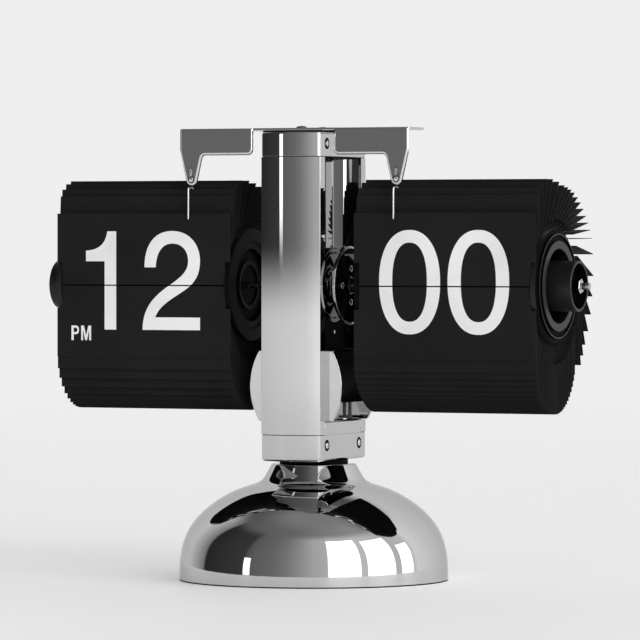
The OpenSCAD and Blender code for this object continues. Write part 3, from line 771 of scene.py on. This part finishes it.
def build_inner_disc(prefix, s):
    """Inner end disc, with a dished middle and a collar round its bore."""
    back_x, dish_x = CARD_IN_X + DISC_W, CARD_IN_X + 0.6
    race_x = back_x - RACE_DEPTH
    collar_in, collar_out = 7.4, 9.1
    profile = [
        (HOLE_R, dish_x), (STEP_R - 0.4, dish_x), (STEP_R, CARD_IN_X), (DISC_R - 0.3, CARD_IN_X),
        (DISC_R, CARD_IN_X + 0.3), (DISC_R, back_x), (RACE_OUT, back_x), (RACE_OUT, race_x),
        (RACE_IN, race_x), (RACE_IN, back_x), (HOLE_R, back_x),
    ]
    collar = [(collar_in, CARD_IN_X + 1.4), (collar_out, CARD_IN_X + 1.2)]
    collar += [(collar_out, back_x), (collar_in, back_x)]
    bm = bmesh.new()
    lathe(bm, profile, "X", AXIS_AT, 128, sign=s)
    lathe(bm, collar, "X", AXIS_AT, 64, sign=s)
    # The inner disc takes the darker copy of the black, as painted shade.
    disc = finish_mesh(f"{prefix}_end_disc_inner", bm, [INNER_SHADED_BLACK], 30)
    place(disc, f"{prefix}_drum", "plastic_black", f"{prefix}_disc_inner")


def build_knob(prefix, s):
    """Setting knob: a cup with a grey lip, and painted shade darkening its inside."""
    root_x, lip_x = KNOB_LO[0] + 0.2, KNOB_HI[0]
    cup = [(0, root_x), (KNOB_R, root_x), (KNOB_R, lip_x)]
    cup += [(KNOB_R - 1.0, lip_x), (KNOB_R - 1.05, KNOB_FLOOR_X), (0, KNOB_FLOOR_X)]
    bm = bmesh.new()
    lathe(bm, round_corners(cup, [0, 0.3, 0.35, 0.3, 0.6, 0]), "X", AXIS_AT, closed=False, sign=s)
    # Faces inside the cup take the darker black as painted shade.
    for f in bm.faces:
        r, x = reach(f)
        if x > lip_x - 0.12:
            f.material_index = 1
        elif r < KNOB_R - 0.6 and x > KNOB_FLOOR_X - 0.6:
            f.material_index = 2
    knob = finish_mesh(f"{prefix}_setting_knob", bm, [MOULDED, RING_GREY, BLACK_AND_SHADE], 30)
    place(knob, f"{prefix}_drum", "plastic_black", f"{prefix}_knob")


def build_nut(prefix, s):
    """Bright hexagon nut on the shaft, with a sleeve down to the knob's floor."""
    nut_r, nut_t, sleeve_r = 2.8, 2.6, 2.15
    face_x, back_x = NUT_HI[0], NUT_HI[0] - nut_t
    turns = [math.radians(60 * k + 15) for k in range(6)]
    hexagon = round_corners([(nut_r * math.cos(t), nut_r * math.sin(t)) for t in turns], 0.3, steps=3)
    sleeve = [(0, KNOB_FLOOR_X), (sleeve_r, KNOB_FLOOR_X), (sleeve_r, back_x + 0.1), (0, back_x + 0.1)]
    bm = bmesh.new()
    extrude(bm, hexagon, back_x, face_x, lambda u, v, w: (s * w, u, AXIS_Z + v), 0.15, 0.35, steps=3)
    lathe(bm, sleeve, "X", AXIS_AT, 40, closed=False, sign=s)
    place(finish_mesh(f"{prefix}_hex_nut", bm, [CHROME], 30), f"{prefix}_drum", "chrome", f"{prefix}_nut")


# ---------------------------------------------------------------- numerals
# Outlines of numerals as lists of loops, in millimetres from their lower left corners
def digit_two():
    pts = [(0.76, 22.97)]
    pts += bezier(pts[-1], (0.76, 31.5), (5.0, 36.3), (12.1, 36.3), 18)
    pts += bezier(pts[-1], (18.8, 36.3), (23.3, 31.6), (23.3, 25.3), 18)
    pts += bezier(pts[-1], (23.3, 21.3), (21.9, 18.4), (19.2, 16.1), 10)
    pts += bezier(pts[-1], (14.5, 12.4), (7.4, 10.2), (5.13, 4.64), 14)
    pts += [(23.3, 4.64), (23.3, 0), (0, 0)]
    pts += bezier(pts[-1], (0, 7.6), (3.9, 12.0), (10.8, 16.3), 16)
    pts += bezier(pts[-1], (15.9, 19.6), (18.5, 21.6), (18.5, 25.3), 12)
    pts += bezier(pts[-1], (18.5, 29.2), (15.9, 31.7), (12.1, 31.7), 12)
    pts += bezier(pts[-1], (8.1, 31.7), (5.6, 28.6), (5.35, 22.97), 12)
    return [pts]


def digit_one():
    pts = [(12.4, 36.2), (8.75, 36.2)]
    pts += bezier(pts[-1], (8.1, 31.6), (5.2, 29.2), (0, 29.1), 14)
    pts += [(0, 25.15), (7.65, 25.15), (7.65, 0), (12.4, 0)]
    return [pts]


def digit_zero():
    """A narrow ring between two superellipses."""
    cx, cz, n = 11.87, 18.73, 72
    loops = []
    for half_w, half_h, power in ((cx, cz, 2.22), (6.75, 14.2, 2.35)):
        loop = []
        for k in range(n):
            t = 2 * math.pi * k / n
            c, s = math.cos(t), math.sin(t)
            u = cx + half_w * math.copysign(abs(c) ** (2 / power), c)
            v = cz + half_h * math.copysign(abs(s) ** (2 / power), s)
            loop.append((u, v))
        loops.append(loop)
    return loops


def letter_p():
    outer = [(0, 0), (0.95, 0), (0.95, 2.2), (2.0, 2.2)]
    outer += bezier(outer[-1], (3.5, 2.2), (3.5, 5.4), (2.0, 5.4), 10)
    outer += [(0, 5.4)]
    hole = [(0.95, 3.0), (1.75, 3.0)]
    hole += bezier(hole[-1], (2.7, 3.0), (2.7, 4.6), (1.75, 4.6), 8)
    hole += [(0.95, 4.6)]
    return [outer, hole]


def letter_m():
    left = [(0, 0), (0.8, 0), (0.8, 3.9), (1.7, 0)]
    right = [(2.4, 0), (3.3, 3.9), (3.3, 0), (4.1, 0)]
    top = [(4.1, 5.4), (2.95, 5.4), (2.05, 1.7), (1.15, 5.4), (0, 5.4)]
    return [left + right + top]


def add_glyph(bm, loops, at, keep, put):
    """Fills a numeral's loops as a thin print, keeps the part between two heights and places it with put."""
    part = bmesh.new()
    flat = [[Vector((u, v, 0)) for u, v in loop] for loop in loops]
    verts = [part.verts.new(((at[0] + p.x) * MM, 0, (at[1] + p.y) * MM)) for loop in flat for p in loop]
    for corners in tessellate_polygon(flat):
        part.faces.new([verts[i] for i in corners])
    low, high = keep
    for z, normal in ((low, (0, 0, -1)), (high, (0, 0, 1))):
        if z is not None:
            geom = part.verts[:] + part.edges[:] + part.faces[:]
            cut = (0, 0, z * MM)
            bmesh.ops.bisect_plane(part, geom=geom, plane_co=cut, plane_no=normal, clear_outer=True)
    if not part.faces:
        part.free()
        return
    bmesh.ops.dissolve_limit(part, angle_limit=0.01, verts=part.verts[:], edges=part.edges[:])
    made = bmesh.ops.extrude_face_region(part, geom=part.faces[:])
    moved = [v for v in made["geom"] if isinstance(v, bmesh.types.BMVert)]
    bmesh.ops.translate(part, verts=moved, vec=(0, PRINT_T * MM, 0))
    for v in part.verts:
        v.co = Vector(put(v.co.x / MM, v.co.y / MM, v.co.z / MM)) * MM
    temp = bpy.data.meshes.new("glyph")
    part.to_mesh(temp)
    part.free()
    bm.from_mesh(temp)
    bpy.data.meshes.remove(temp)


PIN_R, PIN_ANGLE = DISC_R - 0.7, math.radians(0.6)
PIN_Y, PIN_Z = -PIN_R * math.cos(PIN_ANGLE), AXIS_Z + PIN_R * math.sin(PIN_ANGLE)
CARD_SETBACK, CARD_T = 0.02, 0.2  # from the pins to the card's face, and its thickness
CARD_FACE = PIN_Y + CARD_SETBACK
CARD_REAR = CARD_FACE + CARD_T
PRINT_T = 0.05
PRINT_PROUD = 0.015  # low, because the fallen card shuts on the lower one
NEXT_PROUD = 0.03
# Left edges and feet of the numerals
HOUR_X, ZERO_X = (-83.19, -59.99), (34.48, 61.08)
NEXT_HOUR_X, NEXT_MINUTE_X = -67.0, 66.7
GLYPH_Z, ZERO_Z = 91.3, 90.45
PM_X, PM_Z = (-89.19, -85.19), 87.3
# The prints end just clear of the gap between the two front cards
SPLIT_HI, SPLIT_LO = CARD_LO[2] + 0.12, CARD_LOW_HI[2] - 0.12
# The first waiting card: its pins' place round the drum, its lean, and how far its print sits low
NEXT_PIVOT, NEXT_LEAN = math.radians(160.5), math.radians(-3.5)
NEXT_DROP = 1.0


def on_front(u, v, w):
    """Print on the face of the two front cards."""
    return (u, CARD_FACE - PRINT_PROUD + v, w)


def on_rear(u, v, w):
    """Print on the rear of the upper card, which faces out and hangs down once the card has fallen."""
    return (u, CARD_REAR + NEXT_PROUD - v, 2 * PIN_Z - w)


def on_next(u, v, w):
    """Print on the first waiting card, which leans a little."""
    y, z = v + CARD_SETBACK - NEXT_PROUD, w - PIN_Z - NEXT_DROP
    c, s = math.cos(NEXT_LEAN), math.sin(NEXT_LEAN)
    pivot_y, pivot_z = PIN_R * math.cos(NEXT_PIVOT), AXIS_Z + PIN_R * math.sin(NEXT_PIVOT)
    return (u, pivot_y + y * c - z * s, pivot_z + y * s + z * c)


def build_print():
    """White numerals on the two front cards of each drum, and the next number behind them."""
    small = [(letter_p(), (PM_X[0], PM_Z)), (letter_m(), (PM_X[1], PM_Z))]
    hour = [(digit_one(), (HOUR_X[0], GLYPH_Z)), (digit_two(), (HOUR_X[1], GLYPH_Z))]
    minute = [(digit_zero(), (x, ZERO_Z)) for x in ZERO_X]
    next_hour = [(digit_one(), (NEXT_HOUR_X, GLYPH_Z))]
    next_minute = [(digit_zero(), (ZERO_X[0], ZERO_Z)), (digit_one(), (NEXT_MINUTE_X, GLYPH_Z))]
    upper, lower, waiting = (SPLIT_HI, None), (None, SPLIT_LO), (SPLIT_HI + NEXT_DROP, None)
    jobs = (
        ("hour_print_upper", hour, "hour_flap", upper, on_front),
        ("minute_print_upper", minute, "minute_flap", upper, on_front),
        ("hour_print_lower", hour + small, "stand", lower, on_front),
        ("minute_print_lower", minute, "stand", lower, on_front),
        ("hour_print_rear", next_hour + small, "hour_flap", lower, on_rear),
        ("minute_print_rear", next_minute, "minute_flap", lower, on_rear),
        ("hour_print_next", next_hour, "stand", waiting, on_next),
        ("minute_print_next", next_minute, "stand", waiting, on_next),
    )
    for name, glyphs, body, keep, put in jobs:
        bm = bmesh.new()
        for loops, at in glyphs:
            add_glyph(bm, loops, at, keep, put)
        place(finish_mesh(name, bm, [PRINT], 30), body, "card_black")


# ---------------------------------------------------------------- materials for the CAD nodes that stay
def dress_nodes():
    # The stud, the neck and the drum tubes take the darker black, as painted shade in the gap under the
    # column and inside the drums.
    finish = {
        "base_plate": MOULDED, "base_plate_screws": SCREW, "battery_door": MOULDED, "battery_cell": CELL,
        "battery_contact": BRASS, "battery_spring": STEEL, "column_stud": BLACK_AND_SHADE, "stud_washer": STEEL,
        "stud_nut": BRASS, "gear_neck": BLACK_AND_SHADE, "power_leads": LEADS, "motor_pinion": BRASS,
        "idler_gear": BRASS, "idler_pin": STEEL, "reduction_gear": BRASS, "minute_shaft": STEEL,
        "hour_shaft": STEEL, "minute_drum_tube": BLACK_AND_SHADE, "hour_drum_tube": BLACK_AND_SHADE,
    }
    for name, o in nodes.items():
        mat = CARD if "_card" in name else finish.get(name)
        if mat is None:
            continue
        o.data.materials.clear()
        o.data.materials.append(mat)


# ---------------------------------------------------------------- studio
BACKDROP = 0.86
FLOOR_TONE, FLOOR_GLOW = 0.86, 0.25
FLOOR_NEAR, FLOOR_FAR = 0.35, 2.6  # metres over which the floor fades out
LENS, LENS_SHIFT = 281.285, -0.12656
CAMERA_AT, CAMERA_TURN = (0.7420, -1.6735, 0.12466), 23.841


def calc(tree, kind, a, b=None):
    """One arithmetic node; a and b are sockets or numbers."""
    node = tree.nodes.new("ShaderNodeMath")
    node.operation = kind
    for slot, v in zip(node.inputs, (a, b)):
        if v is None:
            continue
        if isinstance(v, (int, float)):
            slot.default_value = v
        else:
            tree.links.new(v, slot)
    return node.outputs[0]


def fade(tree, v, lo, hi, to_lo=0.0, to_hi=1.0):
    """Smooth step of v between lo and hi."""
    node = tree.nodes.new("ShaderNodeMapRange")
    node.interpolation_type = "SMOOTHSTEP"
    for name, x in (("From Min", lo), ("From Max", hi), ("To Min", to_lo), ("To Max", to_hi)):
        node.inputs[name].default_value = x
    tree.links.new(v, node.inputs["Value"])
    return node.outputs["Result"]


def between(tree, v, lo, hi, soft):
    """1 where v lies between lo and hi, with soft edges, and 0 outside."""
    rise = fade(tree, v, lo - soft, lo + soft)
    fall = fade(tree, v, hi - soft, hi + soft, 1, 0)
    return calc(tree, "MULTIPLY", rise, fall)


def panel(tree, az, el, az_lo, az_hi, el_lo, el_hi):
    """1 inside a rectangle of the surroundings, in degrees, and 0 outside."""
    soft = 0.5
    wide = between(tree, az, az_lo, az_hi, soft)
    high = between(tree, el, el_lo, el_hi, soft)
    return calc(tree, "MULTIPLY", wide, high)


def blend(tree, fac, a, b):
    """a where fac is 0 and b where it is 1."""
    kept = calc(tree, "MULTIPLY", a, calc(tree, "SUBTRACT", 1.0, fac))
    return calc(tree, "ADD", kept, calc(tree, "MULTIPLY", b, fac))


def ring_of_tones(tree, az, stops):
    """Brightness of the surroundings by compass angle in degrees from -180 to 180."""
    turn = tree.nodes.new("ShaderNodeMapRange")
    for name, x in (("From Min", -180), ("From Max", 180)):
        turn.inputs[name].default_value = x
    tree.links.new(az, turn.inputs["Value"])
    colour = ramp(tree, turn.outputs["Result"], [((a + 180) / 360, grey(v)) for a, v in stops])
    split = tree.nodes.new("ShaderNodeSeparateColor")
    tree.links.new(colour, split.inputs["Color"])
    return split.outputs[0]


# Studio surroundings, degrees round the clock from its front (-Y) towards +X, and brightness
WALL = [
    (-180, 0.80), (-112, 0.80), (-98, 0.52), (-86, 0.27), (-83.5, 0.03), (-60, 0.045), (-40, 0.055),
    (-36, 0.13), (-30, 0.16), (-12, 0.2), (0, 0.27), (12, 0.4), (24, 0.56), (35, 0.62),
    (36, 0.72), (70, 0.75), (100, 0.66), (119, 0.72), (125, 0.95), (150, 0.84), (180, 0.80),
]
CEILING = [(-180, 0.1), (-120, 0.12), (-60, 0.16), (0, 0.2), (40, 0.3), (80, 0.38), (120, 0.2), (180, 0.1)]
GROUND = [
    (-180, 0.76), (-90, 0.8), (-20, 0.94), (10, 1.0), (30, 1.2),
    (50, 1.3), (80, 1.3), (110, 1.05), (150, 0.86), (180, 0.78),
]
# Elevations between which one zone passes into the next, and the brightness overhead
HORIZON, CEILING_EDGE, ZENITH_EDGE = (-1.0, -0.05), (44, 58), (60, 82)
ZENITH = 0.28
# Bright panels: az from, az to, elevation from, to, brightness
PANELS = [
    (-39.2, -32.9, 0.12, 14.2, 2.4),
    (36.3, 65.0, -0.2, 44.0, 3.4),
    (71.5, 98.5, -0.2, 40.0, 3.4),
    (105.5, 119.0, -0.2, 26.0, 3.0),
]


def build_world():
    """Dark wall in front, bright panels at the sides and pale behind; the camera sees a plain backdrop."""
    world = bpy.data.worlds.new("studio")
    scene.world = world
    world.use_nodes = True
    tree = world.node_tree
    coord = tree.nodes.new("ShaderNodeTexCoord")
    axes = tree.nodes.new("ShaderNodeSeparateXYZ")
    tree.links.new(coord.outputs["Generated"], axes.inputs["Vector"])
    x, y, z = axes.outputs
    az = calc(tree, "DEGREES", calc(tree, "ARCTAN2", x, calc(tree, "MULTIPLY", y, -1.0)))
    el = calc(tree, "DEGREES", calc(tree, "ARCSINE", z))
    wall, ground = ring_of_tones(tree, az, WALL), ring_of_tones(tree, az, GROUND)
    ceiling = blend(tree, fade(tree, el, *ZENITH_EDGE), ring_of_tones(tree, az, CEILING), ZENITH)
    level = blend(tree, fade(tree, el, *CEILING_EDGE), wall, ceiling)
    level = blend(tree, fade(tree, el, *HORIZON), ground, level)
    for a0, a1, e0, e1, tone in PANELS:
        level = blend(tree, panel(tree, az, el, a0, a1, e0, e1), level, tone)
    shade = tree.nodes["Background"]
    tree.links.new(level, shade.inputs["Strength"])
    shade.inputs["Color"].default_value = (1, 1, 1, 1)
    plain = tree.nodes.new("ShaderNodeBackground")
    plain.inputs["Color"].default_value = (*grey(BACKDROP), 1)
    seen = tree.nodes.new("ShaderNodeLightPath")
    mix = tree.nodes.new("ShaderNodeMixShader")
    tree.links.new(seen.outputs["Is Camera Ray"], mix.inputs["Fac"])
    tree.links.new(shade.outputs[0], mix.inputs[1])
    tree.links.new(plain.outputs[0], mix.inputs[2])
    tree.links.new(mix.outputs[0], tree.nodes["World Output"].inputs["Surface"])


def build_floor():
    """Pale floor that fades into the backdrop, so that no horizon shows."""
    mat, tree, bsdf = new_material("studio_floor")
    bsdf.inputs["Base Color"].default_value = (*grey(FLOOR_TONE), 1)
    bsdf.inputs["Specular IOR Level"].default_value = 0.1
    glow(mat, FLOOR_GLOW)
    tree.links.new(spread(tree, noise(tree, 30, 3), 0.5, 0.6), bsdf.inputs["Roughness"])
    coord = tree.nodes.new("ShaderNodeTexCoord")
    length = tree.nodes.new("ShaderNodeVectorMath")
    length.operation = "LENGTH"
    tree.links.new(coord.outputs["Object"], length.inputs[0])
    clear = tree.nodes.new("ShaderNodeBsdfTransparent")
    mix = tree.nodes.new("ShaderNodeMixShader")
    tree.links.new(fade(tree, length.outputs["Value"], FLOOR_NEAR, FLOOR_FAR), mix.inputs["Fac"])
    tree.links.new(bsdf.outputs["BSDF"], mix.inputs[1])
    tree.links.new(clear.outputs["BSDF"], mix.inputs[2])
    out = next(n for n in tree.nodes if n.type == "OUTPUT_MATERIAL")
    tree.links.new(mix.outputs[0], out.inputs["Surface"])
    bpy.ops.mesh.primitive_plane_add(size=6, location=(0, 0, 0))
    floor = bpy.context.object
    floor.name = "studio_floor"
    floor.data.materials.append(mat)


def build_camera():
    cam_data = bpy.data.cameras.new("camera")
    cam_data.sensor_width = 36
    cam_data.lens = LENS
    cam_data.shift_y = LENS_SHIFT
    cam_data.clip_start, cam_data.clip_end = 0.05, 50
    cam = bpy.data.objects.new("camera", cam_data)
    scene.collection.objects.link(cam)
    cam.location = CAMERA_AT
    cam.rotation_euler = (math.radians(90), 0, math.radians(CAMERA_TURN))
    scene.camera = cam


def build_studio():
    scene.view_settings.view_transform = "Standard"
    scene.view_settings.look = "None"
    build_world()
    build_floor()
    build_camera()


build_dome()
build_foot()
build_blocks()
build_shells()
build_spacer()
build_block_screws()
build_beam()
build_beam_screws()
build_ear_rivets()
build_hair_wires()
build_case()
build_hubs()
build_end_plates()
build_pod()
build_pod_clamps()
for drum, side in (("minute", 1), ("hour", -1)):
    build_outer_disc(drum, side)
    build_inner_disc(drum, side)
    build_knob(drum, side)
    build_nut(drum, side)
build_print()
dress_nodes()
build_studio()
